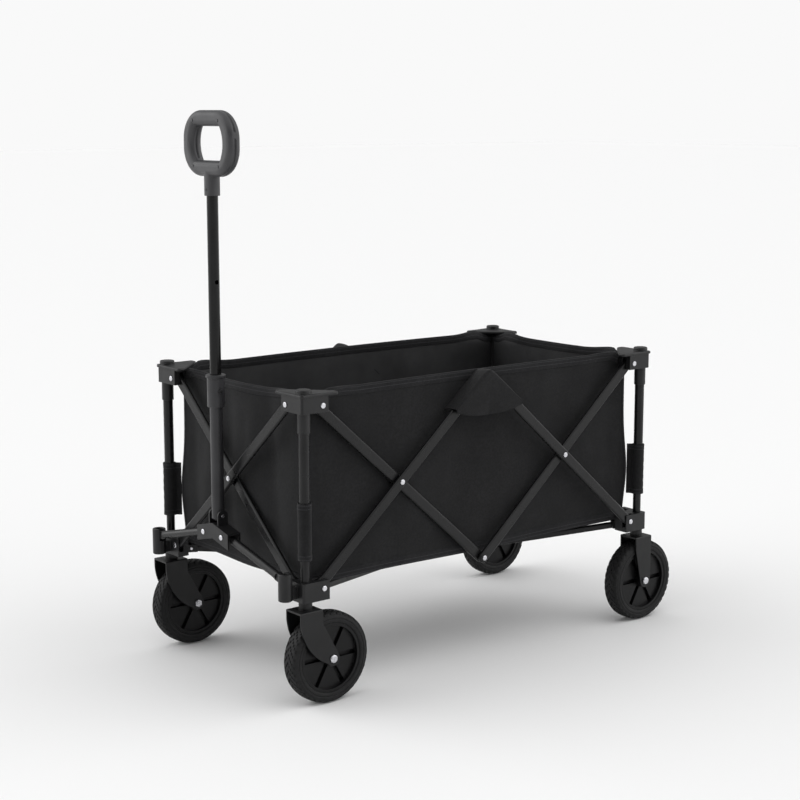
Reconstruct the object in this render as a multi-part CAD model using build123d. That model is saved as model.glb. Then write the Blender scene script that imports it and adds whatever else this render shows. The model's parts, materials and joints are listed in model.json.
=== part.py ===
from build123d import *
import os
from math import atan2, cos, degrees, hypot, radians, sin

# Folding camp wagon: a scissor frame on four posts and four wheels, a sewn basket, and a telescoping handle.
# Frame: +Z up, the wheels stand on z = 0, -X is the handle end, -Y is the left side. Sizes in millimetres.
# "u" and "v" are distances inward from a post's axis, along X and along Y.

# Stance and scissor frame
post_spacing_x = 900.0
post_spacing_y = 476.0
scissor_rise = 349.0  # bottom pins to top pins, opened
side_pin_offset = 34.0  # post axis to the pins of the side bars
end_pin_offset = 38.0  # post axis to the pins of the end bars
fold_end_angle = 78.0  # slope of every bar when the wagon is folded

# Scissor bars, flat-oval steel tube
bar_width = 22.0
bar_thickness = 9.0
bar_wall = 1.4
bar_edge_radius = 4.0
layer_gap = 1.0  # between bars that lie side by side
outer_layer_offset = 7.0  # outermost bars' middle plane, outward of the post axes

# Rivets and pins
rivet_radius = 3.0
rivet_head_radius = 5.5
rivet_head_height = 2.0
pin_clearance = 0.15  # radial, shank to every hole it turns in

# Moulded corner blocks
block_wall = 2.5
slot_clearance = 0.5  # bar to the slot's side walls
slot_end_clearance = 1.0  # bar end to the slot's end
block_end_margin = 13.0  # pin to the end of the block's arm
cap_below_pin = 13.0
cap_above_pin = 18.0
cap_sleeve_radius = 12.0
cap_sleeve_length = 37.0
cap_flange_thickness = 6.0
cap_flange_overhang = 2.5
cap_flange_arm = 70.0
cap_plug_radius = 15.0
cap_plug_height = 8.0
bracket_below_pin = 23.0
bracket_above_pin = 15.0

# Telescoping posts
lower_post_radius = 8.5
post_wall = 1.2
post_clearance = 0.3  # lower post to the upper post that slides over it
post_seat_depth = 24.0  # lower post inside the bottom bracket
upper_post_foot = 73.0  # bottom pin up to the upper post's open end
lower_post_reach = 31.0  # top pin down to the lower post's top end

# Wheels and forks
wheel_radius = 89.0  # 7 inch wheel
wheel_width = 38.0
tyre_depth = 21.0
tyre_shoulder_radius = 9.0
rim_width = 34.0
rim_barrel = 6.0
rim_panel_thickness = 20.0
rim_web_thickness = 4.0
rim_groove_width = 9.0
rim_spokes = 6
wheel_hub_radius = 16.0
axle_radius = 5.0
axle_clearance = 0.1
fork_leg_gap = 42.0
fork_plate = 3.0
wheel_hub_side_clearance = 0.5
fork_front_edge = 28.0  # fork plate, forward of the post axis
fork_rear_edge = 24.0
fork_eye_radius = 15.0
fork_shoulder = 24.0  # straight part of a leg below the crown
crown_thickness = 4.0
crown_clearance = 8.0  # tyre to crown
caster_trail = 47.0
rear_axle_offset = 7.0
neck_length = 14.0
neck_radius = 13.0
neck_clearance = 0.3
stem_radius = 8.0
stem_length = 12.0
axle_head_radius = 8.0
axle_head_height = 4.0

# Front knuckles, links and handle hub
handle_offset = 36.5  # front post axes to the plane of the links and the handle
knuckle_radius = 13.5
knuckle_inset = 13.0  # v of the knuckle
knuckle_above_pin = 20.0  # bottom pin level up to the link's pivot
knuckle_height = 53.0
knuckle_top = 15.0  # pivot to the knuckle's top
link_radius = 8.0
link_wall = 1.5
link_end_thickness = 10.0
link_end_length = 24.0  # flattened, clear of the knuckle when the link stands steep
link_rise = 48.0
hub_pin_half_spacing = 32.0
hub_half_width = 55.0
hub_half_height = 15.5
hub_depth = 30.0
hub_wall = 3.0
hub_top_wall = 4.0
hub_ear_thickness = 4.0
hub_ear_gap = 0.5
foot_pin_radius = 3.5
foot_clearance = 2.0  # tilted handle to the top of the hub

# Handle
lower_tube_radius = 12.5
lower_tube_wall = 1.2
upper_tube_radius = 11.0
upper_tube_wall = 1.2
lower_tube_length = 272.0  # foot pin to the tube's top end
foot_plug_length = 18.0
collar_length = 63.0
collar_above_tube = 6.0
collar_radius = 17.0
collar_rim_radius = 19.5
collar_rim_height = 6.0
collar_bore_clearance = 0.3
upper_tube_overlap = 35.0  # upper tube inside the lower one, pulled out
upper_tube_exposed = 343.0  # collar to the grip's neck, pulled out
handle_travel = 210.0
lock_button_radius = 4.0
lock_button_clearance = 0.2
lock_button_proud = 2.5
lock_button_travel = 2.0
lock_button_drop = 31.0  # collar top to the button
neck_socket_depth = 24.0
grip_neck_radius = 15.0
grip_neck_length = 36.0
grip_width = 164.0
grip_height = 124.0
grip_depth = 30.0
grip_corner_radius = 54.0
grip_hole_half_width = 52.0
grip_hole_height = 64.0
grip_edge_radius = 12.0
grip_screw_radius = 3.0
grip_screw_y = 43.5
grip_screw_z = 43.0

# Basket
basket_inset = 24.0  # post axes to the cloth's outer face
cloth_thickness = 3.0
cloth_gap = 0.3
basket_below_pin = 1.0
basket_top_gap = 0.5  # cloth to the cap flange
cuff_clearance = 0.4
cuff_thickness = 2.6
cuff_bottom = 57.0  # above the bottom pins
cuff_length = 110.0

# Floor arms
arm_width = 14.0
arm_inset_u = 30.0
arm_inset_v = 29.0
arm_below_pin = 14.0
arm_sag = 45.0  # pivot down to where the arms' axes meet
arm_end_gap = 120.0  # arm's inner end to the middle
lug_ear = 4.0
lug_half_length = 13.0
lug_half_height = 8.0

# Levels and places that follow
axle_z = wheel_radius
crown_bottom_z = 2 * wheel_radius + crown_clearance
crown_top_z = crown_bottom_z + crown_thickness
bracket_bottom_z = crown_top_z + neck_length
bottom_pin_z = bracket_bottom_z + bracket_below_pin
bracket_top_z = bottom_pin_z + bracket_above_pin
top_pin_z = bottom_pin_z + scissor_rise
cap_bottom_z = top_pin_z - cap_below_pin
cap_top_z = top_pin_z + cap_above_pin
front_reach = handle_offset + max(hub_depth / 2 + rivet_head_height, collar_rim_radius)
rear_reach = rear_axle_offset + wheel_radius
front_post_x = front_reach - (post_spacing_x + front_reach + rear_reach) / 2
rear_post_x = front_post_x + post_spacing_x
middle_x = (front_post_x + rear_post_x) / 2
half_y = post_spacing_y / 2

# Scissor geometry: the end bars cross at mid-width, and the side bars cross as far from their corner,
# so both scissors stand at one slope and rise together.
end_half_span = half_y - end_pin_offset
side_half_span = post_spacing_x / 2 - side_pin_offset
corner_arm = hypot(end_half_span, scissor_rise / 2)
open_angle = degrees(atan2(scissor_rise / 2, end_half_span))
middle_arm = (side_half_span - end_half_span) / cos(radians(open_angle))
crossing_z = (bottom_pin_z + top_pin_z) / 2
middle_rise = middle_arm * sin(radians(open_angle))
fold_travel = fold_end_angle - open_angle
layer_pitch = bar_thickness + layer_gap
upper_post_radius = lower_post_radius + post_clearance + post_wall
block_outer = outer_layer_offset + bar_thickness / 2 + slot_clearance + block_wall

# Handle places
handle_x = front_post_x - handle_offset
link_pivot_z = bottom_pin_z + knuckle_above_pin
link_outer_y = half_y - knuckle_inset
hub_pin_z = link_pivot_z + link_rise
link_angle = atan2(link_rise, link_outer_y - hub_pin_half_spacing)
hub_ridge_z = hub_pin_z + hub_pin_half_spacing * link_rise / (link_outer_y - hub_pin_half_spacing)
hub_peak_z = hub_ridge_z + hub_half_height
foot_pin_z = hub_peak_z + lower_tube_radius + foot_clearance
lower_tube_top_z = foot_pin_z + lower_tube_length
collar_top_z = lower_tube_top_z + collar_above_tube
neck_bottom_z = collar_top_z + upper_tube_exposed
ring_bottom_z = neck_bottom_z + grip_neck_length
ring_middle_z = ring_bottom_z + grip_height / 2
lock_button_z = collar_top_z - lock_button_drop

# Basket places
basket_bottom_z = bottom_pin_z - basket_below_pin
basket_top_z = cap_top_z - basket_top_gap
arm_pivot_z = bottom_pin_z - arm_below_pin

CORNERS = {
    "front_left": (-1, -1),
    "front_right": (-1, 1),
    "rear_left": (1, -1),
    "rear_right": (1, 1),
}


def layer_offset(layer):
    """Middle plane of a bar layer, outward of the post axes. Layer 1 is the outermost."""
    return outer_layer_offset - (layer - 1) * layer_pitch


# Which layer each corner block holds, at its side and at its end
SIDE_LAYERS = {("top", -1): 3, ("bottom", -1): 2, ("top", 1): 2, ("bottom", 1): 1}
END_LAYERS = {("top", -1): 1, ("bottom", -1): 2, ("top", 1): 2, ("bottom", 1): 1}


def post_x(end):
    return front_post_x if end < 0 else rear_post_x


def to_corner(shape, end, side):
    """Moves a shape modelled in (u, v, z) at the front left post to any corner."""
    if end > 0:
        shape = shape.mirror(Plane.YZ)
    if side > 0:
        shape = shape.mirror(Plane.XZ)
    return Pos(post_x(end), side * half_y, 0) * shape


def box_between(low, high):
    size = [b - a for a, b in zip(low, high)]
    return Pos(*low) * Box(*size, align=(Align.MIN, Align.MIN, Align.MIN))


def rod(start, end, radius):
    """A cylinder between two points."""
    start = Vector(*start)
    axis = Vector(*end) - start
    return Plane(origin=start, z_dir=axis) * extrude(Circle(radius), axis.length)


def rivet(start, end, radius=rivet_radius, head=rivet_head_radius):
    """A rivet through what lies between two points, with a low domed head on each."""
    start = Vector(*start)
    end = Vector(*end)
    out = (end - start).normalized()
    whole = rod(start, end, radius)
    for face, way in ((start, out * -1), (end, out)):
        disc = rod(face, face + way * rivet_head_height, head)
        rims = disc.edges().filter_by(GeomType.CIRCLE)
        whole += fillet(max(rims, key=lambda e: e.center().dot(way)), rivet_head_height * 0.8)
    return whole


def flat_bar(start, end, normal, width=bar_width, thickness=bar_thickness, holes=()):
    """A flat-oval tube with closed round ends, pinned at start and end. Holes are more pins on its line."""
    start = Vector(*start)
    line = Vector(*end) - start
    frame = Plane(origin=start, x_dir=line, z_dir=Vector(*normal))

    def oval(inset, radius):
        outline = Pos(line.length / 2, 0) * SlotCenterToCenter(line.length, width - 2 * inset)
        slab = extrude(outline, thickness / 2 - inset, both=True)
        flat_rims = slab.faces().filter_by(Axis.Z).edges()
        return fillet(flat_rims, radius)

    bar = oval(0, bar_edge_radius) - oval(bar_wall, bar_edge_radius - bar_wall)
    for place in (0, line.length, *holes):
        bar -= Pos(place, 0) * Cylinder(rivet_radius + pin_clearance, 2 * thickness)
    return frame * bar


# Moulded corner blocks


def corner_block(bottom, top, pin_z, level, end, side, slot_low, slot_high):
    """An L-shaped block round a post with a slot for the side bar and a slot for the end bar."""
    side_layer = SIDE_LAYERS[level, end]
    end_layer = END_LAYERS[level, side]
    inner_side = -layer_offset(3) + bar_thickness / 2 + slot_clearance + block_wall
    inner_end = -layer_offset(2) + bar_thickness / 2 + slot_clearance + block_wall
    side_reach = side_pin_offset + block_end_margin
    end_reach = end_pin_offset + block_end_margin
    low = -block_outer
    block = box_between((low, low, bottom), (side_reach, inner_side, top))
    block += box_between((low, low, bottom), (inner_end, end_reach, top))
    uprights = block.edges().filter_by(Axis.Z)
    block = fillet([e for e in uprights if e.center().X + e.center().Y < 0.8 * low * 2], 5)
    half_slot = bar_thickness / 2 + slot_clearance
    slot_start = bar_width / 2 + slot_end_clearance
    side_v = -layer_offset(side_layer)
    end_u = -layer_offset(end_layer)
    block -= box_between(
        (side_pin_offset - slot_start, side_v - half_slot, slot_low),
        (2 * side_reach, side_v + half_slot, slot_high),
    )
    block -= box_between(
        (end_u - half_slot, end_pin_offset - slot_start, slot_low),
        (end_u + half_slot, 2 * end_reach, slot_high),
    )
    hole = rivet_radius + pin_clearance
    block -= rod((side_pin_offset, 2 * low, pin_z), (side_pin_offset, 2 * end_reach, pin_z), hole)
    block -= rod((2 * low, end_pin_offset, pin_z), (2 * side_reach, end_pin_offset, pin_z), hole)
    side_rivet = rivet((side_pin_offset, inner_side, pin_z), (side_pin_offset, low, pin_z))
    end_rivet = rivet((inner_end, end_pin_offset, pin_z), (low, end_pin_offset, pin_z))
    return block, side_rivet, end_rivet


def top_cap(end, side):
    slot_high = top_pin_z + bar_width / 2 + slot_end_clearance
    block, side_rivet, end_rivet = corner_block(
        cap_bottom_z, cap_top_z, top_pin_z, "top", end, side, cap_bottom_z - 1, slot_high
    )
    block += rod((0, 0, cap_bottom_z - cap_sleeve_length), (0, 0, cap_bottom_z + 1), cap_sleeve_radius)
    edge = -block_outer - cap_flange_overhang
    arm = cap_flange_arm
    outline = Polyline((edge, edge), (arm, edge), (arm, 0), (0, arm), (edge, arm), close=True)
    flange = Pos(0, 0, cap_top_z) * extrude(make_face(outline), cap_flange_thickness)
    flange = fillet(flange.edges().filter_by(Axis.Z), 6)
    flange_top_z = cap_top_z + cap_flange_thickness
    top_rims = flange.faces().sort_by(Axis.Z)[-1].edges()
    block += chamfer(top_rims, 2)
    plug = rod((0, 0, flange_top_z - 1), (0, 0, flange_top_z + cap_plug_height), cap_plug_radius)
    block += fillet(plug.edges().filter_by(GeomType.CIRCLE).sort_by(Axis.Z)[-1], 3)
    bore_top_z = cap_top_z - cap_flange_thickness
    block -= rod((0, 0, 0), (0, 0, bore_top_z), upper_post_radius)
    return [to_corner(s, end, side) for s in (block, side_rivet, end_rivet)]


def arm_direction():
    """Plan direction (u, v) from a floor arm's pivot to the wagon's middle, and that distance."""
    du = post_spacing_x / 2 - arm_inset_u
    dv = half_y - arm_inset_v
    reach = hypot(du, dv)
    return du / reach, dv / reach, reach


def arm_lug():
    """Two ears, on the inner side of the bottom bracket, that hold a floor arm's pin."""
    du, dv, _ = arm_direction()
    frame = Plane(origin=(arm_inset_u, arm_inset_v, arm_pivot_z), x_dir=(du, dv, 0), z_dir=(0, 0, 1))
    half_slot = bar_thickness / 2 + slot_clearance
    half_width = half_slot + lug_ear
    eye = arm_width / 2 + slot_end_clearance
    lug = Box(2 * lug_half_length, 2 * half_width, 2 * lug_half_height)
    lug -= box_between((-eye, -half_slot, -eye), (2 * lug_half_length, half_slot, 2 * lug_half_height))
    lug -= box_between((0, -half_slot, -2 * eye), (2 * lug_half_length, half_slot, 0))
    lug -= Rot(90, 0, 0) * Cylinder(rivet_radius + pin_clearance, 4 * half_width)
    pin = rod((0, -half_width, 0), (0, half_width, 0), rivet_radius)
    return frame * lug, frame * pin


def knuckle():
    """The cylinder on a front bracket that the front link turns in, and its pin."""
    u = -handle_offset
    v = knuckle_inset
    top = link_pivot_z + knuckle_top
    bottom = top - knuckle_height
    barrel = rod((u, v, bottom), (u, v, top), knuckle_radius)
    barrel = fillet(barrel.edges().filter_by(GeomType.CIRCLE), 2)
    eye = link_radius + slot_end_clearance
    half_slot = link_end_thickness / 2 + slot_clearance
    web = box_between((u, v - 8, bottom + 2), (0, v + 8, bracket_top_z - 8))
    barrel += web
    barrel -= box_between((u - half_slot, v - eye, link_pivot_z - eye), (u + half_slot, 4 * v, 2 * top))
    pin_half = knuckle_radius - 1
    pin = rod((u - pin_half, v, link_pivot_z), (u + pin_half, v, link_pivot_z), rivet_radius)
    barrel -= pin
    return barrel, pin


def bottom_bracket(end, side):
    slot_low = bottom_pin_z - bar_width / 2 - slot_end_clearance
    block, *pins = corner_block(
        bracket_bottom_z, bracket_top_z, bottom_pin_z, "bottom", end, side, slot_low, bracket_top_z + 1
    )
    lug, lug_pin = arm_lug()
    block += lug
    pins.append(lug_pin)
    if end < 0:
        barrel, link_pin = knuckle()
        block += barrel
        pins.append(link_pin)
    block -= rod((0, 0, bracket_top_z - post_seat_depth), (0, 0, 2 * bracket_top_z), lower_post_radius)
    block -= rod((0, 0, 0), (0, 0, bracket_bottom_z + stem_length + 1), stem_radius + pin_clearance)
    return [to_corner(s, end, side) for s in (block, *pins)]


# Telescoping posts


def upper_post(end, side):
    bottom = bottom_pin_z + upper_post_foot
    top = cap_top_z - cap_flange_thickness
    tube = rod((0, 0, bottom), (0, 0, top), upper_post_radius)
    tube -= rod((0, 0, 0), (0, 0, 2 * top), upper_post_radius - post_wall)
    return to_corner(tube, end, side)


def lower_post(end, side):
    bottom = bracket_top_z - post_seat_depth
    top = top_pin_z - lower_post_reach
    tube = rod((0, 0, bottom), (0, 0, top), lower_post_radius)
    tube -= rod((0, 0, 0), (0, 0, 2 * top), lower_post_radius - post_wall)
    return to_corner(tube, end, side)


# Scissor bars


def side_bars(side):
    """The four bars of one side: two crossed pairs that share a pin at the top and the bottom middle."""
    bars = {}
    top_z = crossing_z + middle_rise
    bottom_z = crossing_z - middle_rise
    half = bar_thickness / 2

    def y_of(layer):
        return side * (half_y + layer_offset(layer))

    for place, end, rise_layer, fall_layer in (("front", -1, 2, 3), ("rear", 1, 1, 2)):
        corner_x = post_x(end) - end * side_pin_offset
        normal = (0, 1, 0)
        crossing_x = corner_x - end * end_half_span
        rise_y = y_of(rise_layer)
        fall_y = y_of(fall_layer)
        holes = (corner_arm,)
        rise = flat_bar((corner_x, rise_y, bottom_pin_z), (middle_x, rise_y, top_z), normal, holes=holes)
        fall = flat_bar((corner_x, fall_y, top_pin_z), (middle_x, fall_y, bottom_z), normal, holes=holes)
        outer_face = rise_y + side * half
        inner_face = fall_y - side * half
        cross_rivet = rivet((crossing_x, inner_face, crossing_z), (crossing_x, outer_face, crossing_z))
        bars[place, "rise"] = [rise, cross_rivet]
        bars[place, "fall"] = [fall]
    for way, z, inner_layer, outer_layer in (("rise", top_z, 2, 1), ("fall", bottom_z, 3, 2)):
        inner_face = y_of(inner_layer) - side * half
        outer_face = y_of(outer_layer) + side * half
        bars["rear", way].append(rivet((middle_x, inner_face, z), (middle_x, outer_face, z)))
    return bars


def end_bars(end):
    """The crossed pair of one end: "fall" runs from the left top down to the right, outside "rise"."""
    half = bar_thickness / 2
    pin_y = half_y - end_pin_offset
    outer_x = post_x(end) + end * layer_offset(1)
    inner_x = post_x(end) + end * layer_offset(2)
    normal = (1, 0, 0)
    holes = (corner_arm,)
    fall = flat_bar((outer_x, -pin_y, top_pin_z), (outer_x, pin_y, bottom_pin_z), normal, holes=holes)
    rise = flat_bar((inner_x, -pin_y, bottom_pin_z), (inner_x, pin_y, top_pin_z), normal, holes=holes)
    cross = rivet((inner_x - end * half, 0, crossing_z), (outer_x + end * half, 0, crossing_z))
    return {"fall": [fall, cross], "rise": [rise]}


# Forks and wheels


def fork_leg(end):
    """Outline of one fork leg in (x, z) from the post axis: straight at the top, round at the axle's eye."""
    eye = fork_eye_radius
    if end < 0:
        eye_x = caster_trail
        front_top = (-fork_front_edge, crown_top_z)
        front_bend = (-fork_front_edge, crown_bottom_z - fork_shoulder / 2)
        belly = (-fork_front_edge * 0.2, axle_z + 24)
        low_side = (eye_x - eye * 0.85, axle_z - eye * 0.52)
        rear_side = (eye_x + eye * 0.9, axle_z + eye * 0.43)
        lowest = (eye_x + eye * 0.3, axle_z - eye * 0.954)
        edges = Line(front_top, front_bend) + ThreePointArc(front_bend, belly, low_side)
    else:
        eye_x = rear_axle_offset
        front_top = (-fork_rear_edge, crown_top_z)
        low_side = (eye_x - eye, axle_z)
        rear_side = (eye_x + eye, axle_z)
        lowest = (eye_x, axle_z - eye)
        front_bend = (-fork_rear_edge, crown_bottom_z - fork_shoulder)
        edges = Line(front_top, front_bend) + Line(front_bend, low_side)
    rear_top = (fork_rear_edge, crown_top_z)
    rear_bend = (fork_rear_edge, crown_bottom_z - fork_shoulder)
    edges += ThreePointArc(low_side, lowest, rear_side)
    edges += Polyline(rear_side, rear_bend, rear_top, front_top)
    return make_face(edges)


def wheel_fork(end, side):
    """A pressed fork: crown, two legs, and the neck and stem that turn or sit in the bracket."""
    eye_x = caster_trail if end < 0 else rear_axle_offset
    half_gap = fork_leg_gap / 2
    front_edge = fork_front_edge if end < 0 else fork_rear_edge
    outline = Plane.XZ * fork_leg(end)
    fork = box_between((-front_edge, -half_gap, crown_bottom_z), (fork_rear_edge, half_gap, crown_top_z))
    for way in (-1, 1):
        leg = extrude(outline, fork_plate / 2, both=True)
        leg = Pos(0, way * (half_gap + fork_plate / 2), 0) * leg
        leg -= rod((eye_x, -2 * half_gap, axle_z), (eye_x, 2 * half_gap, axle_z), axle_radius)
        fork += leg
    along_x = fork.edges().filter_by(Axis.X)
    bends = [e for e in along_x if e.center().Z > crown_top_z - 0.1 and abs(e.center().Y) > half_gap]
    fork = fillet(bends, fork_plate * 0.8)
    fork += rod((0, 0, crown_bottom_z), (0, 0, bracket_bottom_z - neck_clearance), neck_radius)
    fork += rod((0, 0, crown_bottom_z), (0, 0, bracket_bottom_z + stem_length), stem_radius)
    return Pos(post_x(end), side * half_y, 0) * fork


def axle_bolt(end, side):
    """A bolt with a domed head on the outer side and a hex nut on the inner side."""
    x = post_x(end) + (caster_trail if end < 0 else rear_axle_offset)
    y = side * half_y
    reach = fork_leg_gap / 2 + fork_plate
    outer = y + side * reach
    inner = y - side * reach
    head = rod((x, outer, axle_z), (x, outer + side * axle_head_height, axle_z), axle_head_radius)
    rims = head.edges().filter_by(GeomType.CIRCLE)
    head = fillet(max(rims, key=lambda e: side * e.center().Y), axle_head_height * 0.6)
    bolt = head + rod((x, outer, axle_z), (x, inner - side * (axle_head_height + 2), axle_z), axle_radius)
    face = Plane(origin=(x, inner, axle_z), z_dir=(0, -side, 0))
    nut = face * extrude(RegularPolygon(axle_head_radius, 6) - Circle(axle_radius), axle_head_height)
    return [bolt, nut]


def wheel_place(end, side):
    x = post_x(end) + (caster_trail if end < 0 else rear_axle_offset)
    return Pos(x, side * half_y, axle_z) * Rot(90, 0, 0)


def tyre(end, side):
    body = Cylinder(wheel_radius, wheel_width)
    body = fillet(body.edges().filter_by(GeomType.CIRCLE), tyre_shoulder_radius)
    body -= Cylinder(wheel_radius - tyre_depth, 2 * wheel_width)
    return wheel_place(end, side) * body


def wheel_rim(end, side):
    outer = wheel_radius - tyre_depth
    inner = outer - rim_barrel
    recess = (rim_width - rim_panel_thickness) / 2
    rim = Cylinder(outer, rim_width)
    for way in (-1, 1):
        rim -= Pos(0, 0, way * (rim_width / 2 - recess / 2)) * Cylinder(inner, recess)
    groove_depth = (rim_panel_thickness - rim_web_thickness) / 2
    from_hub_out = (Align.MIN, Align.CENTER, Align.CENTER)
    for i in range(rim_spokes):
        turn = Rot(0, 0, i * 360 / rim_spokes)
        for way in (-1, 1):
            z = way * (rim_web_thickness + groove_depth) / 2
            groove = Box(inner, rim_groove_width, groove_depth, align=from_hub_out)
            rim -= turn * Pos(0, 0, z) * (groove - Cylinder(wheel_hub_radius, rim_width))
    rim += Cylinder(wheel_hub_radius, fork_leg_gap - 2 * wheel_hub_side_clearance)
    rim -= Cylinder(axle_radius + axle_clearance, 2 * rim_width)
    return wheel_place(end, side) * rim


# Front links and hub


def front_link(side):
    """A round tube with flattened ends, from the knuckle up to the handle hub."""
    outer = Vector(handle_x, side * link_outer_y, link_pivot_z)
    inner = Vector(handle_x, side * hub_pin_half_spacing, hub_pin_z)
    line = inner - outer
    frame = Plane(origin=outer, x_dir=line, z_dir=(1, 0, 0))
    along = line.length
    tube = rod((link_end_length, 0, 0), (along - link_end_length, 0, 0), link_radius)
    for middle in (link_end_length / 2, along - link_end_length / 2):
        paddle = Pos(middle, 0) * SlotCenterToCenter(link_end_length, 2 * link_radius)
        tube += extrude(paddle, link_end_thickness / 2, both=True)
    bore = rod((link_end_length + 12, 0, 0), (along - link_end_length - 12, 0, 0), link_radius - link_wall)
    tube -= bore
    tube -= Cylinder(rivet_radius + pin_clearance, 4 * link_radius)
    tube -= Pos(along, 0) * Cylinder(rivet_radius + pin_clearance, 4 * link_radius)
    return frame * tube


def handle_hub():
    """A channel over the inner ends of both links, with two ears on top for the handle's foot."""
    slope = link_rise / (link_outer_y - hub_pin_half_spacing)

    def chevron(above, below, half_width, depth):
        fall = slope * half_width
        top_peak = hub_ridge_z + above
        low_peak = hub_ridge_z - below
        outline = Polyline(
            (0, top_peak), (half_width, top_peak - fall), (half_width, low_peak - fall),
            (0, low_peak), (-half_width, low_peak - fall), (-half_width, top_peak - fall), close=True,
        )
        return Pos(handle_x, 0, 0) * extrude(Plane.YZ * make_face(outline), depth / 2, both=True)

    hub = chevron(hub_half_height, hub_half_height, hub_half_width, hub_depth)
    cavity_depth = hub_depth - 2 * hub_wall
    hub -= chevron(hub_half_height - hub_top_wall, 3 * hub_half_height, 2 * hub_half_width, cavity_depth)
    ear_in = lower_tube_radius + hub_ear_gap
    ear_out = ear_in + hub_ear_thickness
    ear_half = lower_tube_radius - 1
    for way in (-1, 1):
        low_y, high_y = sorted((way * ear_in, way * ear_out))
        ear_root_z = hub_peak_z - slope * ear_out - hub_top_wall / 2
        front_foot = (handle_x - ear_half, low_y, ear_root_z)
        ear = box_between(front_foot, (handle_x + ear_half, high_y, foot_pin_z))
        ear += rod((handle_x, low_y, foot_pin_z), (handle_x, high_y, foot_pin_z), ear_half)
        hub += ear
    hub -= rod((handle_x, -2 * ear_out, foot_pin_z), (handle_x, 2 * ear_out, foot_pin_z), foot_pin_radius)
    pin_reach = ear_out + 1
    foot_pin = rod((handle_x, -pin_reach, foot_pin_z), (handle_x, pin_reach, foot_pin_z), foot_pin_radius)
    front = handle_x - hub_depth / 2
    back = handle_x + hub_depth / 2
    y = hub_pin_half_spacing
    hub -= rod((2 * front, -y, hub_pin_z), (0, -y, hub_pin_z), rivet_radius)
    hub -= rod((2 * front, y, hub_pin_z), (0, y, hub_pin_z), rivet_radius)
    pins = [rivet((back, -y, hub_pin_z), (front, -y, hub_pin_z))]
    for face, way in ((front, -1), (back, 1)):
        shank = rod((face - way * hub_wall, y, hub_pin_z), (face, y, hub_pin_z), rivet_radius)
        head = rod((face, y, hub_pin_z), (face + way * rivet_head_height, y, hub_pin_z), rivet_head_radius)
        rims = head.edges().filter_by(GeomType.CIRCLE)
        head = fillet(max(rims, key=lambda e: way * e.center().X), rivet_head_height * 0.8)
        pins.append(shank + head)
    return [hub, foot_pin, *pins]


# Handle


def lower_handle():
    """The handle's outer tube with its pivoting foot, and the moulded collar on its top."""

    def upright(low_z, high_z, radius):
        return rod((handle_x, 0, low_z), (handle_x, 0, high_z), radius)

    def crosswise(low_y, high_y, z, radius):
        return rod((handle_x, low_y, z), (handle_x, high_y, z), radius)

    wide = 2 * lower_tube_radius
    tube = upright(foot_pin_z, lower_tube_top_z, lower_tube_radius)
    tube -= upright(foot_pin_z + foot_plug_length, 2 * lower_tube_top_z, lower_tube_radius - lower_tube_wall)
    tube += upright(0, foot_pin_z, lower_tube_radius) & crosswise(-wide, wide, foot_pin_z, lower_tube_radius)
    tube -= crosswise(-wide, wide, foot_pin_z, foot_pin_radius + pin_clearance)
    collar_bottom_z = collar_top_z - collar_length
    collar = upright(collar_bottom_z, collar_top_z, collar_radius)
    rim = upright(collar_top_z - collar_rim_height, collar_top_z, collar_rim_radius)
    collar += fillet(rim.edges().filter_by(GeomType.CIRCLE), 1.5)
    collar -= upright(0, lower_tube_top_z, lower_tube_radius)
    collar -= upright(0, 2 * collar_top_z, upper_tube_radius + collar_bore_clearance)
    button_bore = crosswise(-2 * collar_radius, 0, lock_button_z, lock_button_radius + lock_button_clearance)
    return [tube - button_bore, collar - button_bore]


def lock_button():
    inner_y = -(upper_tube_radius + collar_bore_clearance)
    outer_y = -(collar_radius + lock_button_proud)
    button = rod((handle_x, inner_y, lock_button_z), (handle_x, outer_y, lock_button_z), lock_button_radius)
    rims = button.edges().filter_by(GeomType.CIRCLE)
    return fillet(min(rims, key=lambda e: e.center().Y), 1.5)


def upper_handle_tube():
    bottom = lower_tube_top_z - upper_tube_overlap
    top = neck_bottom_z + neck_socket_depth
    tube = rod((handle_x, 0, bottom), (handle_x, 0, top), upper_tube_radius)
    tube -= rod((handle_x, 0, 0), (handle_x, 0, 2 * top), upper_tube_radius - upper_tube_wall)
    hole_radius = lock_button_radius + lock_button_clearance
    for z in (lock_button_z, lock_button_z + handle_travel):
        tube -= rod((handle_x, -2 * upper_tube_radius, z), (handle_x, 0, z), hole_radius)
    return tube


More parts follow.
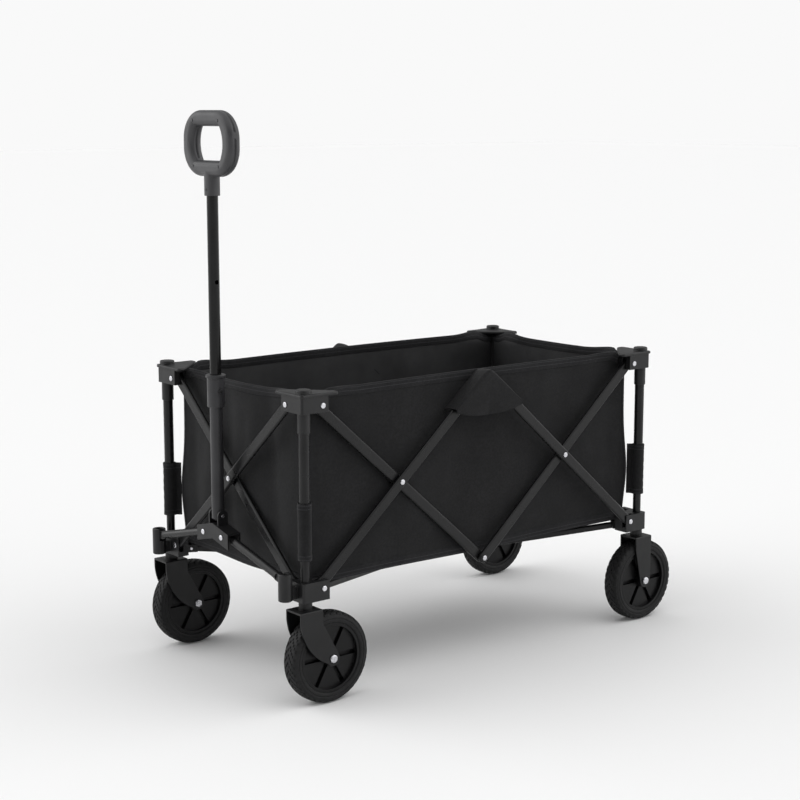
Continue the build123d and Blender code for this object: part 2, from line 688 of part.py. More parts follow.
def handle_grip():
    """A ring grip on a short neck, as a front and a back moulding held by five screws."""
    barrel_hole = Circle(grip_hole_half_width) & Rectangle(2 * grip_width, grip_hole_height)
    outline = RectangleRounded(grip_width, grip_height, grip_corner_radius) - barrel_hole
    ring = extrude(Plane.YZ * outline, grip_depth / 2, both=True)
    flat_rims = ring.faces().filter_by(Axis.X).edges()
    ring = Pos(handle_x, 0, ring_middle_z) * fillet(flat_rims, grip_edge_radius)
    neck_top_z = ring_bottom_z + grip_edge_radius
    ring += rod((handle_x, 0, neck_bottom_z), (handle_x, 0, neck_top_z), grip_neck_radius)
    ring -= rod((handle_x, 0, 0), (handle_x, 0, neck_bottom_z + neck_socket_depth), upper_tube_radius)
    face_x = handle_x - grip_depth / 2
    spots = [(y * grip_screw_y, ring_middle_z + z * grip_screw_z) for y in (-1, 1) for z in (-1, 1)]
    screws = [rod((face_x - 0.8, y, z), (face_x + 6, y, z), grip_screw_radius) for y, z in spots]
    neck_screw_z = neck_bottom_z + neck_socket_depth / 2
    neck_x = handle_x - grip_neck_radius
    screws.append(rod((neck_x - 0.8, 0, neck_screw_z), (neck_x + 3, 0, neck_screw_z), grip_screw_radius))
    for screw in screws:
        ring -= screw
    split_plane = Plane(origin=(handle_x, 0, 0), z_dir=(1, 0, 0))
    halves = split(ring, bisect_by=split_plane, keep=Keep.BOTH).solids()
    return [*halves, *screws]


# Basket cloth, as plain closed panels


def cuff(end, side):
    """The cloth sleeve round a post, and the flap that joins it to the basket's corner."""
    inner = upper_post_radius + cuff_clearance
    outer = inner + cuff_thickness
    bottom = bottom_pin_z + cuff_bottom
    top = bottom + cuff_length
    corner = basket_inset - cloth_gap
    half = cloth_thickness / 2
    flap = box_between((inner, -half, bottom), (hypot(corner, corner), half, top))
    body = rod((0, 0, bottom), (0, 0, top), outer) + Rot(0, 0, 45) * flap
    body -= rod((0, 0, 0), (0, 0, 2 * top), inner)
    return to_corner(body, end, side)


def basket_panels():
    """Side panels run the whole length; end panels and the floor fit between them."""
    x_low = front_post_x + basket_inset
    x_high = rear_post_x - basket_inset
    y_out = half_y - basket_inset
    y_in = y_out - cloth_thickness
    z_low = basket_bottom_z
    z_high = basket_top_z
    end_y = y_in - cloth_gap
    floor_top = z_low + cloth_thickness
    floor_x = cloth_thickness + cloth_gap
    left = box_between((x_low, -y_out, z_low), (x_high, -y_in, z_high))
    right = box_between((x_low, y_in, z_low), (x_high, y_out, z_high))
    front = box_between((x_low, -end_y, z_low), (x_low + cloth_thickness, end_y, z_high))
    rear = box_between((x_high - cloth_thickness, -end_y, z_low), (x_high, end_y, z_high))
    floor = box_between((x_low + floor_x, -end_y, z_low), (x_high - floor_x, end_y, floor_top))
    return {
        "basket_side_left": [left, cuff(-1, -1)],
        "basket_front": [front, cuff(-1, 1)],
        "basket_rear": [rear, cuff(1, -1)],
        "basket_side_right": [right, cuff(1, 1)],
        "basket_floor": [floor],
    }


def floor_arm(end, side):
    """A flat-oval arm from the bracket's lug towards the middle, a little below the pins when opened."""
    du, dv, reach = arm_direction()
    length = hypot(reach, arm_sag)
    share = (length - arm_end_gap) / length
    start = Vector(arm_inset_u, arm_inset_v, arm_pivot_z)
    finish = start + Vector(du * reach, dv * reach, -arm_sag) * share
    arm = flat_bar(start, finish, (-dv, du, 0), width=arm_width)
    return to_corner(arm, end, side)


def all_parts():
    parts = {}
    for corner, (end, side) in CORNERS.items():
        parts[f"top_cap_{corner}"] = top_cap(end, side)
        parts[f"bottom_bracket_{corner}"] = bottom_bracket(end, side)
        parts[f"upper_post_{corner}"] = [upper_post(end, side)]
        parts[f"lower_post_{corner}"] = [lower_post(end, side)]
        parts[f"wheel_fork_{corner}"] = [wheel_fork(end, side)]
        parts[f"axle_bolt_{corner}"] = axle_bolt(end, side)
        parts[f"wheel_rim_{corner}"] = [wheel_rim(end, side)]
        parts[f"tyre_{corner}"] = [tyre(end, side)]
        parts[f"floor_arm_{corner}"] = [floor_arm(end, side)]
    for name, side in (("left", -1), ("right", 1)):
        for (place, way), solids in side_bars(side).items():
            parts[f"side_bar_{name}_{place}_{way}"] = solids
        parts[f"front_link_{name}"] = [front_link(side)]
    for name, end in (("front", -1), ("rear", 1)):
        for way, solids in end_bars(end).items():
            parts[f"end_bar_{name}_{way}"] = solids
    parts["handle_hub"] = handle_hub()
    parts["handle_lower_tube"] = lower_handle()
    parts["lock_button"] = [lock_button()]
    parts["handle_upper_tube"] = [upper_handle_tube()]
    parts["handle_grip"] = handle_grip()
    parts.update(basket_panels())
    return parts


os.makedirs("parts", exist_ok=True)
for node, pieces in all_parts().items():
    solids = [solid for piece in pieces for solid in piece.solids()]
    shape = solids[0] if len(solids) == 1 else Compound(children=solids)
    export_step(shape, f"parts/{node}.step")
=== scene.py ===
import json
import math

import bpy
from mathutils import Matrix, Vector, noise
from mathutils.bvhtree import BVHTree

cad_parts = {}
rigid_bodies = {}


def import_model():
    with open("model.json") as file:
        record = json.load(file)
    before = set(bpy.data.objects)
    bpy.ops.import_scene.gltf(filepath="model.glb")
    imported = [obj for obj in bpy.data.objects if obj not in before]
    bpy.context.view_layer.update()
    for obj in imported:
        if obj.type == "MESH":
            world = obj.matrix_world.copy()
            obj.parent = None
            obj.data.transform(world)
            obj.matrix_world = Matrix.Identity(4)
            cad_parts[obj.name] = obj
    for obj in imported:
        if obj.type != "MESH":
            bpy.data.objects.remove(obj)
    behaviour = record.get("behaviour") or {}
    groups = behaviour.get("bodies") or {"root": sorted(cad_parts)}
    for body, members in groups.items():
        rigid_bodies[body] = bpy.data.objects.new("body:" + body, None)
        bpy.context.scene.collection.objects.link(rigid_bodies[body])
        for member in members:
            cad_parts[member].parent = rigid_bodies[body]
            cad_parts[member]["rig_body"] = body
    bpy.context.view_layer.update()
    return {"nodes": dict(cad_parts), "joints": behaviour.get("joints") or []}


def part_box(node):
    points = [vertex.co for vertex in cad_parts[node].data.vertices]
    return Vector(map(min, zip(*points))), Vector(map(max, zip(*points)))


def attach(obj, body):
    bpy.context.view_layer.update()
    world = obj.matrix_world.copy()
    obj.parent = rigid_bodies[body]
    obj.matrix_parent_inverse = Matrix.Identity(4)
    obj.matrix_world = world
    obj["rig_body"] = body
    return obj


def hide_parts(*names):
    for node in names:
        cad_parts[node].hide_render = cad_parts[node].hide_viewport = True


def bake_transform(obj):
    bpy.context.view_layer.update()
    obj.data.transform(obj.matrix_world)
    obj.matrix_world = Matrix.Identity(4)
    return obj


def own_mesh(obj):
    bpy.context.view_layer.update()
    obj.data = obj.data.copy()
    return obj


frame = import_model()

# Folding camp wagon: finishes for the frame's parts, and the sewn basket, tyres and small fittings on them.
# Metres, +Z up, the handle at -X, the left side at -Y.

nodes = frame["nodes"]
CORNERS = {
    "front_left": (-1, -1),
    "front_right": (-1, 1),
    "rear_left": (1, -1),
    "rear_right": (1, 1),
}


def middle(node):
    low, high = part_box(node)
    return (low + high) / 2


post = {corner: middle("lower_post_" + corner) for corner in CORNERS}
wagon_x = (post["front_left"].x + post["rear_left"].x) / 2
half_width = post["front_right"].y
cloth_high_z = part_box("basket_front")[1].z
cloth_low_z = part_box("basket_floor")[0].z
floor_to_wall = 0.0033  # the CAD floor's edge to the wall's cloth
corner_inset = -post["front_left"].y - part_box("basket_floor")[1].y - floor_to_wall  # post axis to the cloth


# Finishes


def linear(code):
    """The linear colour of an sRGB hex value."""
    shares = [int(code[i : i + 2], 16) / 255 for i in (1, 3, 5)]
    return [s / 12.92 if s <= 0.04045 else ((s + 0.055) / 1.055) ** 2.4 for s in shares] + [1.0]


def add(tree, kind, inputs=None, **settings):
    """One shader node with its settings, its values and its links."""
    node = tree.nodes.new("ShaderNode" + kind)
    for name, value in settings.items():
        setattr(node, name, value)
    for socket, value in (inputs or {}).items():
        if isinstance(value, bpy.types.NodeSocket):
            tree.links.new(value, node.inputs[socket])
        else:
            node.inputs[socket].default_value = value
    return node


def new_finish(name, **values):
    made = bpy.data.materials.new(name)
    made.use_nodes = True
    shader = made.node_tree.nodes["Principled BSDF"]
    for socket, value in values.items():
        shader.inputs[socket.replace("_", " ")].default_value = value
    return made, made.node_tree, shader


def grained(name, dark, light, roughness, grain_mm, depth_mm, drift_mm=60.0, **values):
    """A hard finish whose colour and gloss drift slowly, with a fine grain in its surface."""
    made, tree, shader = new_finish(name, **values)
    place = add(tree, "TexCoord").outputs["Object"]
    drift = add(tree, "TexNoise", {"Vector": place, "Scale": 1000 / drift_mm, "Detail": 3.0})
    tone = add(tree, "MapRange", {"Value": drift.outputs["Fac"], "From Min": 0.35, "From Max": 0.65})
    colour = add(
        tree, "Mix", {0: tone.outputs["Result"], 6: linear(dark), 7: linear(light)}, data_type="RGBA"
    )
    tree.links.new(colour.outputs[2], shader.inputs["Base Color"])
    rubbed = add(tree, "TexNoise", {"Vector": place, "Scale": 1000 / (drift_mm * 0.3), "Detail": 4.0})
    gloss = add(
        tree,
        "MapRange",
        {"Value": rubbed.outputs["Fac"], "From Min": 0.3, "From Max": 0.7}
        | {"To Min": roughness - 0.05, "To Max": roughness + 0.06},
    )
    tree.links.new(gloss.outputs["Result"], shader.inputs["Roughness"])
    grain = add(tree, "TexNoise", {"Vector": place, "Scale": 1000 / grain_mm, "Detail": 2.0})
    bump = add(
        tree, "Bump", {"Height": grain.outputs["Fac"], "Distance": depth_mm / 1000, "Strength": 0.5}
    )
    tree.links.new(bump.outputs["Normal"], shader.inputs["Normal"])
    return made


# Powder coat baked on steel tube: a satin black skin with a faint orange peel about 2 mm across.
powder_coat = grained("powder_coated_steel", "#0C0C0D", "#131314", 0.30, 2.0, 0.10, Specular_IOR_Level=0.3)
# The same coat on pressed plate, a little duller and greyer all over; the real coat lies thicker at the
# bends.
fork_coat = grained("powder_coated_plate", "#0E0E0F", "#151516", 0.34, 1.6, 0.10, Specular_IOR_Level=0.3)
# Gloss coat on the drawn inner tube: deep black with long clear highlights.
gloss_coat = grained(
    "gloss_coated_tube",
    "#070707",
    "#0C0C0D",
    0.17,
    3.0,
    0.03,
    Specular_IOR_Level=0.22,
    Coat_Weight=0.1,
    Coat_Roughness=0.08,
)
# Satin coat on the outer handle tube, greyer than the frame.
sleeve_coat = grained(
    "satin_coated_sleeve", "#262628", "#303032", 0.36, 2.0, 0.08, Specular_IOR_Level=0.35
)
# Glass-filled nylon, moulded in spark-eroded tools: even charcoal with a fine matt grain.
nylon = grained("moulded_nylon", "#151516", "#1E1E1F", 0.40, 1.0, 0.06, Specular_IOR_Level=0.32)
# Polypropylene wheel centre: a smoother, darker moulding with faint flow marks.
polypropylene = grained(
    "moulded_polypropylene", "#09090A", "#0E0E0F", 0.38, 4.0, 0.05, drift_mm=30.0, Specular_IOR_Level=0.22
)
# Soft-touch grip moulding with a fine leather-like grain.
grip_plastic = grained(
    "soft_touch_moulding", "#303032", "#3B3B3D", 0.42, 1.4, 0.12, Specular_IOR_Level=0.45
)
# Thermoplastic rubber: dull black, slightly dusty and greyer in patches.
rubber = grained(
    "thermoplastic_rubber", "#0B0B0C", "#121213", 0.66, 1.2, 0.10, drift_mm=25.0, Specular_IOR_Level=0.32
)
# Bright zinc plate: a pale metal with a soft brushed sheen.
zinc = grained("bright_zinc_plate", "#C4C4C8", "#DADADE", 0.27, 0.8, 0.02, drift_mm=8.0, Metallic=1.0)


def woven(name, dark, light, stitched=False):
    """Black 600D polyester oxford, woven from flat yarns, read along the piece's own UV in metres.
    Real yarns lie about 0.5 mm apart; they are drawn 1.4 mm apart so that the weave shows."""
    yarn = 0.0014
    made, tree, shader = new_finish(
        name, Roughness=0.84, Specular_IOR_Level=0.16, Sheen_Weight=0.06, Sheen_Roughness=0.5
    )
    flat = add(tree, "UVMap").outputs["UV"]
    across = add(tree, "TexWave", {"Vector": flat, "Scale": math.tau / 20 / yarn}, bands_direction="X")
    along = add(tree, "TexWave", {"Vector": flat, "Scale": math.tau / 20 / yarn}, bands_direction="Y")
    over = add(tree, "TexChecker", {"Vector": flat, "Scale": 1 / yarn})
    yarns = add(
        tree,
        "Mix",
        {0: over.outputs["Fac"], 2: across.outputs["Fac"], 3: along.outputs["Fac"]},
        data_type="FLOAT",
    )
    place = add(tree, "TexCoord").outputs["Object"]
    wear = add(tree, "TexNoise", {"Vector": place, "Scale": 14.0, "Detail": 5.0, "Roughness": 0.6})
    slub = add(tree, "TexNoise", {"Vector": place, "Scale": 220.0, "Detail": 2.0})
    tone = add(tree, "Math", {0: wear.outputs["Fac"], 1: slub.outputs["Fac"]}, operation="MULTIPLY")
    share = add(tree, "MapRange", {"Value": tone.outputs[0], "From Min": 0.15, "From Max": 0.4})
    colour = add(
        tree, "Mix", {0: share.outputs["Result"], 6: linear(dark), 7: linear(light)}, data_type="RGBA"
    ).outputs[2]
    height = add(tree, "Math", {0: yarns.outputs[0], 1: 0.35}, operation="MULTIPLY").outputs[0]
    if stitched:  # two rows of 4 mm lockstitch, 3 and 10 mm from the edge
        apart = add(tree, "SeparateXYZ", {"Vector": flat})
        rows = []
        for inset in (0.003, 0.010):
            off = add(tree, "Math", {0: apart.outputs["Y"], 1: inset}, operation="SUBTRACT")
            near = add(tree, "Math", {0: off.outputs[0]}, operation="ABSOLUTE")
            rows.append(add(tree, "Math", {0: near.outputs[0], 1: 0.0006}, operation="LESS_THAN"))
        either = add(
            tree, "Math", {0: rows[0].outputs[0], 1: rows[1].outputs[0]}, operation="MAXIMUM"
        )
        step = add(tree, "Math", {0: apart.outputs["X"], 1: 250.0}, operation="MULTIPLY")
        part = add(tree, "Math", {0: step.outputs[0]}, operation="FRACT")
        thread = add(tree, "Math", {0: part.outputs[0], 1: 0.72}, operation="LESS_THAN")
        stitch = add(
            tree, "Math", {0: either.outputs[0], 1: thread.outputs[0]}, operation="MULTIPLY"
        ).outputs[0]
        colour = add(
            tree, "Mix", {0: stitch, 6: colour, 7: linear("#343436")}, data_type="RGBA"
        ).outputs[2]
        height = add(tree, "Math", {0: height, 1: stitch}, operation="ADD").outputs[0]
    tree.links.new(colour, shader.inputs["Base Color"])
    bump = add(tree, "Bump", {"Height": height, "Distance": 0.0003, "Strength": 0.6})
    tree.links.new(bump.outputs["Normal"], shader.inputs["Normal"])
    return made


cloth = woven("woven_polyester_600d", "#161617", "#1F1F20")
binding = woven("polyester_binding_tape", "#18181A", "#232324", stitched=True)
# The cloth's inner face carries a thin waterproof coating, smoother than the woven face. Its lighter grey is
# partly that coating and partly painted light: the inner faces are made lighter to stand in for the light
# falling into the basket.
backing_with_painted_light = grained("coated_backing_painted_light", "#252526", "#2F2F30", 0.55, 1.4, 0.12, Specular_IOR_Level=0.3)


# Working on meshes


def only(obj):
    """Makes obj the active object and the only one selected."""
    if bpy.context.object is not None and bpy.context.object.mode != "OBJECT":
        bpy.ops.object.mode_set(mode="OBJECT")
    bpy.ops.object.select_all(action="DESELECT")
    obj.select_set(True)
    bpy.context.view_layer.objects.active = obj


def apply_modifier(obj, kind, **settings):
    only(obj)
    modifier = obj.modifiers.new(kind.lower(), kind)
    for name, value in settings.items():
        setattr(modifier, name, value)
    bpy.ops.object.modifier_apply(modifier=modifier.name)


def smooth(obj, degrees=35.0):
    only(obj)
    bpy.ops.object.shade_smooth_by_angle(angle=math.radians(degrees))


def wear_finish(obj, finish):
    obj.data.materials.clear()
    obj.data.materials.append(finish)


def solids_of(mesh):
    """The faces of each separate solid in a mesh of loose triangles."""
    places = {}
    corner = [places.setdefault(tuple(round(c, 7) for c in v.co), len(places)) for v in mesh.vertices]
    joined = list(range(len(places)))

    def root(i):
        while joined[i] != i:
            joined[i] = joined[joined[i]]
            i = joined[i]
        return i

    for face in mesh.polygons:
        first = root(corner[face.vertices[0]])
        for v in face.vertices[1:]:
            joined[root(corner[v])] = first
    groups = {}
    for face in mesh.polygons:
        groups.setdefault(root(corner[face.vertices[0]]), []).append(face)
    return groups.values()


def finish_solids(obj, choose):
    """Gives each solid of a part the finish that choose(its size) returns."""
    mesh = obj.data
    mesh.materials.clear()
    for faces in solids_of(mesh):
        points = [mesh.vertices[v].co for face in faces for v in face.vertices]
        size = sorted(max(p[i] for p in points) - min(p[i] for p in points) for i in range(3))
        finish = choose(size)
        if finish.name not in mesh.materials:
            mesh.materials.append(finish)
        index = mesh.materials.find(finish.name)
        for face in faces:
            face.material_index = index


def fastened(main):
    """Rivets, pins and screws, thinner than 13.5 mm two ways, are zinc; the rest is the main finish."""
    return lambda size: zinc if size[1] < 0.0135 else main


def softened(node, name, width, choose):
    """A copy of a CAD part with its sharp edges rounded off, as a mould or a coat leaves them."""
    source = nodes[node]
    piece = bpy.data.objects.new(name, source.data.copy())
    bpy.context.scene.collection.objects.link(piece)
    finish_solids(piece, choose)
    only(piece)
    bpy.ops.object.mode_set(mode="EDIT")
    bpy.ops.mesh.select_all(action="SELECT")
    bpy.ops.mesh.remove_doubles(threshold=1e-6)
    bpy.ops.mesh.customdata_custom_splitnormals_clear()
    bpy.ops.mesh.dissolve_limited(angle_limit=math.radians(0.2), delimit={"MATERIAL"})
    bpy.ops.object.mode_set(mode="OBJECT")
    apply_modifier(
        piece,
        "BEVEL",
        width=width,
        segments=2,
        limit_method="ANGLE",
        angle_limit=math.radians(40),
        use_clamp_overlap=False,
    )
    surface = BVHTree.FromPolygons(
        [v.co for v in source.data.vertices], [face.vertices[:] for face in source.data.polygons]
    )
    # Where faces meet almost in line, a rounded edge can run off the part: its points are put back.
    for vertex in piece.data.vertices:
        place, _, _, gap = surface.find_nearest(vertex.co)
        if gap > width:
            vertex.co = place
    smooth(piece, 40)
    apply_modifier(piece, "WEIGHTED_NORMAL", keep_sharp=True)
    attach(piece, source["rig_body"])
    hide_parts(node)
    return piece


def line_inside_painted_light(sheet, inward):
    """Gives a sheet's faces that look inward the coated backing, whose lighter colour is partly painted light
    on the basket's inside.
    """
    sheet.data.materials.append(backing_with_painted_light)
    for face in sheet.data.polygons:
        if face.normal.dot(inward) > 0.3:
            face.material_index = 1


# Hard parts that keep their CAD shape

for node, obj in nodes.items():
    if node.startswith(("side_bar", "end_bar", "floor_arm", "front_link")):
        finish_solids(obj, fastened(powder_coat))
    elif node.startswith(("upper_post", "lower_post")):
        finish_solids(obj, lambda size: powder_coat)
    elif node.startswith("axle_bolt"):
        finish_solids(obj, lambda size: zinc)
    elif node == "handle_upper_tube":
        finish_solids(obj, lambda size: gloss_coat)
    elif node == "lock_button":
        finish_solids(obj, lambda size: nylon)

# Mouldings and pressings with softened edges

for corner in CORNERS:
    piece = softened("top_cap_" + corner, "corner_cap_" + corner, 0.0009, fastened(nylon))
    piece = softened("bottom_bracket_" + corner, "corner_bracket_" + corner, 0.0008, fastened(nylon))
    piece = softened("wheel_fork_" + corner, "fork_" + corner, 0.0007, lambda size: fork_coat)
    piece = softened("wheel_rim_" + corner, "wheel_centre_" + corner, 0.0008, lambda size: polypropylene)
piece = softened("handle_hub", "link_hub", 0.0008, fastened(nylon))
# The heads of the hub's two link pins are part of its solid, so their faces are found by place.
head_radius = 0.0062
head_height = 0.0021
hub_low, hub_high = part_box("handle_hub")
link_pin = next(Vector(j["pos_m"]) for j in frame["joints"] if j["name"] == "hub_on_left_link")
for face in piece.data.polygons:
    places = [piece.data.vertices[v].co for v in face.vertices]
    off_axis = max(math.hypot(abs(p.y) - abs(link_pin.y), p.z - link_pin.z) for p in places)
    depth = min(face.center.x - hub_low.x, hub_high.x - face.center.x)
    if off_axis < head_radius and depth < head_height:
        face.material_index = piece.data.materials.find(zinc.name)
piece = softened(
    "handle_lower_tube", "handle_sleeve", 0.0006, lambda size: nylon if size[2] < 0.1 else sleeve_coat
)
piece = softened("handle_grip", "ring_grip", 0.0004, fastened(grip_plastic))


# Tyres


tyre_steps = 108  # faces round the tread
block_height = 0.0015
tread_depth = 0.006  # from the crown to the lowest face that may carry a block


def make_tyre():
    """A solid tyre about the Y axis at the origin: a spun profile, with chevron blocks raised on the
    tread."""
    outer = (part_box("tyre_front_left")[1].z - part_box("tyre_front_left")[0].z) / 2
    inner = (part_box("wheel_rim_front_left")[1].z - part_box("wheel_rim_front_left")[0].z) / 2
    half = (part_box("tyre_front_left")[1].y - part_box("tyre_front_left")[0].y) / 2
    crown = outer - 0.0016
    side = [
        (inner, half - 0.0025),
        (inner + 0.0012, half - 0.0008),
        (inner + 0.0035, half),
        (inner + 0.0065, half),
        (inner + 0.0075, half - 0.0009),
        (inner + 0.0090, half - 0.0009),
        (inner + 0.0100, half),
        (crown - 0.0075, half - 0.0006),
        (crown - 0.0035, half - 0.0022),
        (crown - 0.0012, half - 0.0050),
        (crown - 0.0004, half - 0.0085),
        (crown, 0.0062),
        (crown, 0.0021),
    ]
    profile = side + [(r, -w) for r, w in reversed(side)]
    bpy.ops.object.select_all(action="DESELECT")
    bpy.ops.mesh.primitive_circle_add(vertices=len(profile), radius=outer)
    tyre = bpy.context.object
    for vertex, (r, w) in zip(tyre.data.vertices, profile):
        vertex.co = (0, w, r)
    bpy.ops.object.mode_set(mode="EDIT")
    bpy.ops.mesh.select_all(action="SELECT")
    bpy.ops.mesh.spin(steps=tyre_steps, angle=math.tau, center=(0, 0, 0), axis=(0, 1, 0))
    bpy.ops.mesh.select_all(action="SELECT")
    bpy.ops.mesh.remove_doubles(threshold=1e-5)
    bpy.ops.mesh.normals_make_consistent(inside=False)
    bpy.ops.mesh.select_mode(type="FACE")
    bpy.ops.mesh.select_all(action="DESELECT")
    bpy.ops.object.mode_set(mode="OBJECT")
    edges = [0.0021, 0.0062, half - 0.0085, half - 0.0050, half - 0.0022]
    for face in tyre.data.polygons:
        w = abs(face.center.y)
        strip = sum(w > e for e in edges)
        r = math.hypot(face.center.x, face.center.z)
        turn = round((math.atan2(face.center.x, face.center.z) / math.tau % 1) * tyre_steps - 0.5)
        face.select = r > crown - tread_depth and strip < len(edges) and (turn + strip) % 3 != 0
    bpy.ops.object.mode_set(mode="EDIT")
    bpy.ops.mesh.extrude_region_move()
    bpy.ops.transform.shrink_fatten(value=block_height)
    bpy.ops.object.mode_set(mode="OBJECT")
    apply_modifier(
        tyre, "BEVEL", width=0.0003, segments=1, limit_method="ANGLE", angle_limit=math.radians(45)
    )
    smooth(tyre, 38)
    return tyre


pattern_tyre = make_tyre()
for corner in CORNERS:
    tyre = pattern_tyre.copy()
    tyre.data = pattern_tyre.data.copy()
    tyre.name = "treaded_tyre_" + corner
    bpy.context.scene.collection.objects.link(tyre)
    tyre.data.transform(Matrix.Translation(middle("tyre_" + corner)))
    wear_finish(tyre, rubber)
    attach(tyre, "wheel_" + corner)
    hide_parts("tyre_" + corner)
bpy.data.objects.remove(pattern_tyre)


# Sheets of cloth


def bell(value, centre, width):
    return math.exp(-(((value - centre) / width) ** 2))


def ramp(value, start, end):
    """0 before start, 1 after end, and a smooth step between."""
    share = min(max((value - start) / (end - start), 0), 1)
    return share * share * (3 - 2 * share)


def even(count):
    return [i / count for i in range(count + 1)]


def cloth_grid(name, columns, rows, place, width, height, finish):
    """A sheet whose points place(s, t) gives at each share s in columns and t in rows, with its UV in
    metres of flat cloth."""
    last_column, last_row = len(columns) - 1, len(rows) - 1
    bpy.ops.object.select_all(action="DESELECT")
    bpy.ops.mesh.primitive_grid_add(x_subdivisions=last_column, y_subdivisions=last_row, size=1)
    sheet = bpy.context.object
    sheet.name = name
    flat = []
    for vertex in sheet.data.vertices:
        column = round((vertex.co.x + 0.5) * last_column)
        row = round((vertex.co.y + 0.5) * last_row)
        flat.append((columns[column], rows[row]))
        vertex.co = place(*flat[-1])
    uv = sheet.data.uv_layers.active.data
    for loop in sheet.data.loops:
        s, t = flat[loop.vertex_index]
        uv[loop.index].uv = (s * width, t * height)
    wear_finish(sheet, finish)
    only(sheet)
    bpy.ops.object.shade_smooth()
    return sheet


def turn_over(sheet):
    """Turns a sheet's faces to its other side."""
    only(sheet)
    bpy.ops.object.mode_set(mode="EDIT")
    bpy.ops.mesh.select_all(action="SELECT")
    bpy.ops.mesh.flip_normals()
    bpy.ops.object.mode_set(mode="OBJECT")


def thicken(sheet, thickness):
    apply_modifier(sheet, "SOLIDIFY", thickness=thickness, offset=0.0)
    smooth(sheet, 60)


def band_of(sheet, name, width, height, edge, wide, thick):
    """A folded tape over one edge of a sheet: a copy of its outermost faces, made thick."""
    band = sheet.copy()
    band.data = sheet.data.copy()
    band.name = name
    bpy.context.scene.collection.objects.link(band)
    uv = band.data.uv_layers.active.data
    away = {
        "top": lambda u, v: height - v,
        "bottom": lambda u, v: v,
        "start": lambda u, v: u,
        "end": lambda u, v: width - u,
    }[edge]
    for face in band.data.polygons:
        spots = [uv[i].uv for i in face.loop_indices]
        face.select = min(away(*spot) for spot in spots) > wide - 1e-5
    only(band)
    bpy.ops.object.mode_set(mode="EDIT")
    bpy.ops.mesh.select_mode(type="FACE")
    bpy.ops.mesh.delete(type="FACE")
    bpy.ops.object.mode_set(mode="OBJECT")
    uv = band.data.uv_layers.active.data
    for loop in band.data.loops:
        u, v = uv[loop.index].uv
        uv[loop.index].uv = (u if edge in ("top", "bottom") else v, away(u, v))
    wear_finish(band, binding)
    apply_modifier(band, "SOLIDIFY", thickness=thick, offset=0.0, use_even_offset=True)
    apply_modifier(
        band, "BEVEL", width=thick * 0.3, segments=2, limit_method="ANGLE", angle_limit=math.radians(50)
    )
    smooth(band, 50)
    return band


# Basket walls

hem_width = 0.018
tape_width = 0.007
wall_height = cloth_high_z - cloth_low_z
wall_cloth = 0.0011  # its thickness, coating included
cuff_height = 0.110
bottom_pin_z = next(j["pos_m"][2] for j in frame["joints"] if j["name"] == "fold")
cuff_low_z = bottom_pin_z + 0.057
cuff_high_z = cuff_low_z + cuff_height


def seam_inset(z):
    """Post axis to the corner seam, along X and along Y: the cuffs pull the corners outwards."""
    return corner_inset - 0.0060 * bell(z, (cuff_low_z + cuff_high_z) / 2, 0.075)


class Wall:
    """One wall of the basket, between two corner seams. "along" runs from its first corner to its second,
    and "out" points away from the basket's middle."""

    rim_climb = 0.0080  # at the tips of the caps' plates
    rim_rest = 0.0040  # how much of the climb is lost beyond them
    rim_flare = 0.0130  # outwards, at the same tips
    plate_tip = 0.074  # from the post

    def __init__(self, first, second, sag, folds, belly):
        self.first = post[first]
        self.second = post[second]
        way = self.second - self.first
        self.along = Vector((way.x, way.y, 0)).normalized()
        self.length = Vector((way.x, way.y, 0)).length
        self.flat_width = self.length - 2 * corner_inset
        self.out = Vector((self.along.y, -self.along.x, 0))
        if (self.first - Vector((wagon_x, 0, 0))).dot(self.out) < 0:
            self.out = -self.out
        self.sag = sag
        self.folds = folds
        self.belly = belly

    def from_post(self, s):
        """Distance along the wall to the nearer post, metres."""
        return min(s, 1 - s) * self.flat_width + corner_inset

    def height(self, s, t):
        """The rim lies under the caps' plates at the corners, climbs past their tips and runs down
        beyond them."""
        middling = 4 * s * (1 - s)
        away = self.from_post(s)
        top = cloth_high_z + self.sag * middling
        top += self.rim_climb * ramp(away, 0.046, 0.070) - self.rim_rest * ramp(away, self.plate_tip, 0.154)
        low = cloth_low_z + 0.002 * math.sin(9 * s) * middling
        return low + (top - low) * t

    def bulge(self, s, t):
        """How far the cloth stands out from the flat, metres."""
        held = math.sin(math.pi * s) ** 0.5 * math.sin(math.pi * min(max(t, 0), 1)) ** 0.6
        out = self.belly * math.sin(math.pi * s) * math.sin(math.pi * t) * (1.3 - 0.6 * t)
        for at, lean, wide, deep in self.folds:
            out += deep * held * bell(s + lean * (t - 0.5), at, wide)
        spot = Vector((s * self.length * 9, t * 3.2, self.first.y * 7 + self.first.x))
        out += 0.0016 * held * noise.noise(spot)
        out += 0.0005 * held * noise.noise(spot * 4.5)
        return out

    def point(self, s, t):
        z = self.height(s, t)
        inset = seam_inset(z)
        run = self.length - 2 * inset
        place = self.first + self.along * (inset + run * s) - self.out * inset
        near_rim = max(0, 1 - (1 - t) * wall_height / 0.024) ** 2
        flare = self.rim_flare * near_rim * bell(self.from_post(s), self.plate_tip, 0.030)
        place += self.out * (self.bulge(s, t) + flare)
        return Vector((place.x, place.y, z))


def lattice_lines(total, edge, count):
    """Shares along an edge: one line at each tape's inner edge, and even steps between."""
    inner = total - 2 * edge
    lines = [0.0, edge * 0.5 / total, edge / total]
    lines += [(edge + inner * (i + 1) / count) / total for i in range(count)]
    return lines + [1 - edge * 0.5 / total, 1.0]


